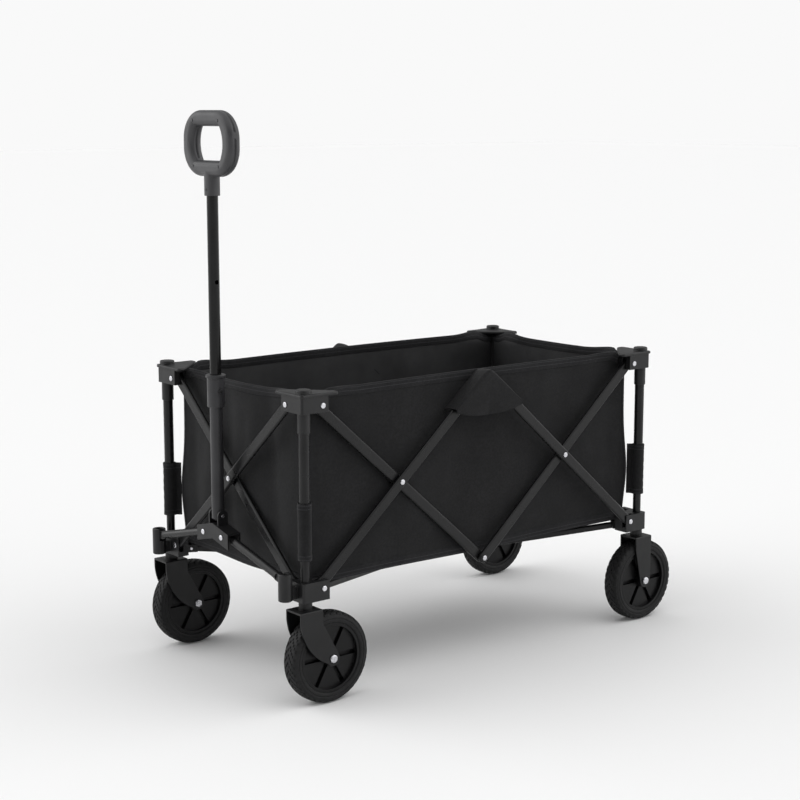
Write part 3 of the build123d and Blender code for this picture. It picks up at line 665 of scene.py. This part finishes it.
WALLS = {
    # Each fold is its place along the wall, its lean and its width, as shares of the wall, and its depth.
    "left": dict(
        first="front_left",
        second="rear_left",
        body="post_base_front_left",
        node="basket_side_left",
        sag=0.0035,
        belly=0.0012,
        folds=[
            (0.06, 0.05, 0.025, 0.0016),
            (0.16, -0.10, 0.045, -0.0030),
            (0.27, 0.12, 0.05, 0.0018),
            (0.44, -0.06, 0.06, -0.0030),
            (0.60, 0.10, 0.05, 0.0016),
            (0.74, -0.12, 0.05, -0.0036),
            (0.86, 0.06, 0.03, 0.0018),
            (0.94, -0.03, 0.02, -0.0030),
        ],
    ),
    "right": dict(
        first="rear_right",
        second="front_right",
        body="post_base_rear_right",
        node="basket_side_right",
        sag=0.0035,
        belly=0.0012,
        folds=[
            (0.05, 0.04, 0.02, -0.0034),
            (0.12, 0.08, 0.03, 0.0022),
            (0.25, -0.14, 0.05, -0.0040),
            (0.40, 0.08, 0.06, 0.0020),
            (0.55, -0.10, 0.06, -0.0042),
            (0.70, 0.12, 0.05, 0.0018),
            (0.82, -0.05, 0.04, -0.0036),
            (0.93, 0.03, 0.02, 0.0018),
        ],
    ),
    "front": dict(
        first="front_right",
        second="front_left",
        body="post_base_front_right",
        node="basket_front",
        sag=-0.0080,
        belly=0.0050,
        folds=[
            (0.10, 0.10, 0.04, -0.0050),
            (0.24, -0.06, 0.05, 0.0040),
            (0.40, 0.05, 0.05, -0.0060),
            (0.58, -0.04, 0.06, 0.0045),
            (0.76, 0.08, 0.05, -0.0055),
            (0.90, -0.08, 0.04, 0.0030),
        ],
    ),
    "rear": dict(
        first="rear_left",
        second="rear_right",
        body="post_base_rear_left",
        node="basket_rear",
        sag=-0.0030,
        belly=0.0050,
        folds=[
            (0.12, 0.08, 0.05, -0.0045),
            (0.30, -0.08, 0.05, 0.0040),
            (0.50, 0.06, 0.06, -0.0060),
            (0.70, -0.05, 0.05, 0.0045),
            (0.88, 0.06, 0.04, -0.0055),
        ],
    ),
}

for name, facts in WALLS.items():
    wall = Wall(facts["first"], facts["second"], facts["sag"], facts["folds"], facts["belly"])
    flat_width = wall.flat_width
    size = (flat_width, wall_height)
    columns = lattice_lines(flat_width, tape_width, round(flat_width / 0.009))
    rows = lattice_lines(wall_height, hem_width, 34)
    sheet = cloth_grid("basket_wall_" + name, columns, rows, wall.point, *size, cloth)
    tapes = [
        band_of(sheet, f"rim_hem_{name}", *size, "top", hem_width, 0.0042),
        band_of(sheet, f"foot_hem_{name}", *size, "bottom", hem_width, 0.0026),
        band_of(sheet, f"seam_tape_{name}_a", *size, "start", tape_width, 0.0024),
        band_of(sheet, f"seam_tape_{name}_b", *size, "end", tape_width, 0.0024),
    ]
    thicken(sheet, wall_cloth)
    # The inward faces take the lighter backing: coating plus painted light on the inside of the wall.
    line_inside_painted_light(sheet, -wall.out)
    for piece in (sheet, *tapes):
        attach(piece, facts["body"])
        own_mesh(piece)
    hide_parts(facts["node"])


# Cuffs: a sleeve round each post, its two ends sewn together into the basket's corner seam

# One side of the sewn neck, as (towards the basket, across), and the round part that follows it
CUFF_NECK = [(0.0243, 0.0009), (0.0205, 0.0015), (0.0165, 0.0016), (0.0140, 0.0019), (0.0127, 0.0028)]
cuff_radius = 0.0123
cuff_hem = 0.008
owner = {
    "front_left": "basket_side_left",
    "front_right": "basket_front",
    "rear_left": "basket_rear",
    "rear_right": "basket_side_right",
}


def cuff_outline():
    """Points round the cuff, from one sewn end to the other."""
    half = list(CUFF_NECK)
    for step in range(15):
        angle = math.radians(22 + 158 * step / 14)
        half.append((cuff_radius * math.cos(angle), cuff_radius * math.sin(angle)))
    return half + [(a, -b) for a, b in reversed(half[:-1])]


outline = cuff_outline()
cuff_width = sum(math.dist(a, b) for a, b in zip(outline, outline[1:]))
for corner, (end, side) in CORNERS.items():
    inward = Vector((-end, -side, 0)).normalized()
    across = Vector((-inward.y, inward.x, 0))

    def place(s, t, corner=corner, inward=inward, across=across):
        a, b = outline[round(s * (len(outline) - 1))]
        loose = 0.0010 * max(0, noise.noise(Vector((s * 5, t * 4, inward.x * 3 + inward.y * 8))))
        loose += 0.0004 * math.sin(t * 19 + s * 9) ** 2
        on_neck = a >= 0.0125
        grown = 1 + loose / max(math.hypot(a, b), 0.005) * (0.2 if on_neck else 1)
        axis = Vector((post[corner].x, post[corner].y, cuff_low_z + cuff_height * t))
        return axis + inward * (a * grown) + across * (b * grown)

    size = (cuff_width, cuff_height)
    cuff = cloth_grid("post_cuff_" + corner, even(len(outline) - 1), even(28), place, *size, cloth)
    if end * side > 0:
        turn_over(cuff)
    hems = [
        band_of(cuff, f"cuff_hem_{corner}_top", *size, "top", cuff_hem, 0.0018),
        band_of(cuff, f"cuff_hem_{corner}_foot", *size, "bottom", cuff_hem, 0.0018),
    ]
    thicken(cuff, 0.0010)
    for piece in (cuff, *hems):
        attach(piece, "post_base_" + corner)
    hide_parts(owner[corner])


# Hoods: a sewn cover over each side's top middle joint, open below, its top edges along the bars

hood_half = 0.088
hood_drop = 0.078  # top pin to the open edge, at its lowest
hood_peak = 0.0195  # top pin to the hood's top, if it came to a sharp point
front_share = 0.72  # of the hood's cloth; the rest turns over the bars to the wall
bar_slope = math.radians(41.1)
wall_y = half_width - corner_inset + 0.0012
for name, side in (("left", -1), ("right", 1)):
    pin = Vector(next(j["pos_m"] for j in frame["joints"] if j["name"] == name + "_top_middle"))
    face_y = max(abs(v.y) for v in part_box(f"side_bar_{name}_rear_rise")) + 0.0016

    def place(s, t, pin=pin, side=side, face_y=face_y):
        x = (2 * s - 1) * hood_half
        reach = abs(x) / hood_half
        high = pin.z + hood_peak - math.sqrt((x * math.tan(bar_slope)) ** 2 + 0.006**2)
        low = min(pin.z - hood_drop + 0.013 * reach**2.4, high - 0.003)
        if t < front_share:
            up = t / front_share
            middling = math.sin(math.pi * min(1, up * 1.15)) * (1 - reach)
            tucked = 0.006 * max(0, 1 - up * 3) * (1 - reach) ** 2
            rounded = max(0, (up - 0.9) / 0.1) ** 2
            y = face_y + 0.0012 * middling * math.cos(7 * s) - tucked - 0.002 * rounded
            return Vector((pin.x + x, side * y, low + (high - low) * up - 0.0008 * rounded))
        back = (t - front_share) / (1 - front_share)
        y = face_y - 0.002 + (wall_y - face_y + 0.002) * back
        z = high - 0.0008 + 0.0015 * math.sin(math.pi * back) - 0.003 * back
        return Vector((pin.x + x, side * y, z))

    hood = cloth_grid("joint_hood_" + name, even(56), even(32), place, 0.20, 0.125, cloth)
    thicken(hood, wall_cloth)
    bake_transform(hood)


# Floor: a quarter hung over each floor arm, sewn together along the middle

floor_low, floor_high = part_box("basket_floor")
floor_z = (floor_low.z + floor_high.z) / 2
seam_reach = Vector((0.0028, 0.0028, 0))  # from the CAD floor's edge into the walls' foot hems
floor_low -= seam_reach
floor_high += seam_reach
for corner, (end, side) in CORNERS.items():
    arm = next(j for j in frame["joints"] if j["name"] == f"arm_{corner}_lift")
    far = Vector((floor_low.x if end < 0 else floor_high.x, side * floor_high.y, 0))
    reach = Vector((wagon_x - far.x, -far.y, 0))

    def place(s, t, far=far, reach=reach):
        x = far.x + reach.x * s
        y = far.y + reach.y * t
        held = math.sin(math.pi * s / 2) * math.sin(math.pi * t / 2)
        z = floor_z - 0.004 * held + 0.0014 * noise.noise(Vector((x * 9, y * 9, 2.0))) * held
        return Vector((x, y, z))

    size = (abs(reach.x), abs(reach.y))
    quarter = cloth_grid("basket_floor_" + corner, even(46), even(24), place, *size, cloth)
    if end * side < 0:
        turn_over(quarter)
    thicken(quarter, 0.0016)
    # The upper faces take the lighter backing: coating plus painted light on the basket's floor.
    line_inside_painted_light(quarter, Vector((0, 0, 1)))
    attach(quarter, "arm_" + corner)
    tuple(arm["pos_m"])
    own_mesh(quarter)
    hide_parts("basket_floor")


# Camera, lights and floor

camera = bpy.data.objects.new("camera", bpy.data.cameras.new("camera"))
bpy.context.scene.collection.objects.link(camera)
camera.location = (wagon_x - 2.2582, -2.745, 1.1168)
camera.rotation_mode = "QUATERNION"
camera.rotation_quaternion = Vector((0.6216, 0.765, -0.1688)).to_track_quat("-Z", "Y")
camera.data.lens = 76.6
bpy.context.scene.camera = camera

bpy.ops.object.select_all(action="DESELECT")
bpy.ops.mesh.primitive_plane_add(size=80, location=(0, 0, 0))
floor = bpy.context.object
floor.name = "studio_floor"
pale, _, pale_shader = new_finish("pale_studio_floor", Roughness=0.7, Specular_IOR_Level=0.2)
pale_shader.inputs["Base Color"].default_value = linear("#EBEBEB")
floor.data.materials.append(pale)

world = bpy.data.worlds.new("studio")
bpy.context.scene.world = world
world.use_nodes = True
sky = world.node_tree
backdrop = sky.nodes["Background"]
backdrop.inputs["Color"].default_value = linear("#F9F9F9")
# The room is dark at the camera, with soft banks of light at both sides, above and behind the wagon.
way = add(sky, "TexCoord").outputs["Generated"]


def bank(direction, start, full, strength):
    """The brightness of a soft bank of light that fills the view towards a direction."""
    facing = add(sky, "VectorMath", {0: way, 1: direction}, operation="DOT_PRODUCT").outputs["Value"]
    reach = {"Value": facing, "From Min": start, "From Max": full, "To Min": 0.0, "To Max": strength}
    return add(sky, "MapRange", reach, interpolation_type="SMOOTHSTEP").outputs["Result"]


banks = [
    bank((-0.77, 0.62, 0.15), 0.60, 0.80, 1.9),
    bank((0.77, -0.62, 0.15), 0.60, 0.80, 1.5),
    bank((0.0, 0.0, 1.0), 0.45, 0.80, 0.92),
    bank((0.62, 0.77, 0.0), 0.40, 0.90, 0.25),
]
brightness = 0.08  # the dark room's own
for light in banks:
    brightness = add(sky, "Math", {0: light, 1: brightness}, operation="ADD").outputs[0]
room = add(sky, "Background", {"Strength": brightness})
room.inputs["Color"].default_value = (1, 1, 1, 1)
seen = add(sky, "LightPath").outputs["Is Camera Ray"]
both = add(sky, "MixShader", {0: seen, 1: room.outputs[0], 2: backdrop.outputs[0]})
sky.links.new(both.outputs[0], sky.nodes["World Output"].inputs["Surface"])

sun = bpy.data.objects.new("overhead_bank", bpy.data.lights.new("overhead_bank", "SUN"))
bpy.context.scene.collection.objects.link(sun)
sun.data.energy = 0.2
sun.data.angle = math.radians(50)
sun.rotation_mode = "QUATERNION"
sun.rotation_quaternion = Vector((0.34, 0.34, -1.0)).to_track_quat("-Z", "Y")
bpy.context.scene.view_settings.view_transform = "Standard"
